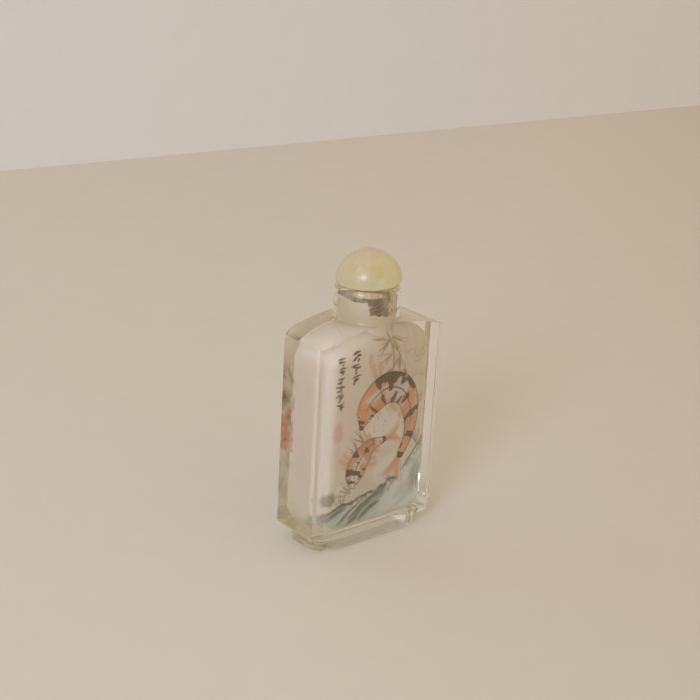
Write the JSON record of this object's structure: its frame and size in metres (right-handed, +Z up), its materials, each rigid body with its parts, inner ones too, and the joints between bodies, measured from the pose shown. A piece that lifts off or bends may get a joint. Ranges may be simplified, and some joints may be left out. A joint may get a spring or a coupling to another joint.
{
  "type": "snuff bottle",
  "caption": "Flat clear-glass snuff bottle, hollow, with cut corners and arched shoulders on a recessed foot, closed by a rough cork plug under a polished domed stone cap.",
  "frame": {"origin": "centre of the foot's underside, at the middle of the bottle's footprint", "axes": "+Z up through the neck, +X along the bottle's width, -Y out of the painted front face"},
  "size_m": [0.047, 0.0196, 0.0885],
  "materials": {
    "clear_glass": "clear, polished outside, ground white and painted on the cavity wall",
    "dark_cork": "rough dark cork, amber with old glue at the head",
    "pale_stone": "polished, waxy, slightly clouded yellow-green stone"
  },
  "bodies": {
    "root": {"bottle": "clear_glass", "stopper_cork": "dark_cork", "stopper_cap": "pale_stone"}
  },
  "joints": []
}
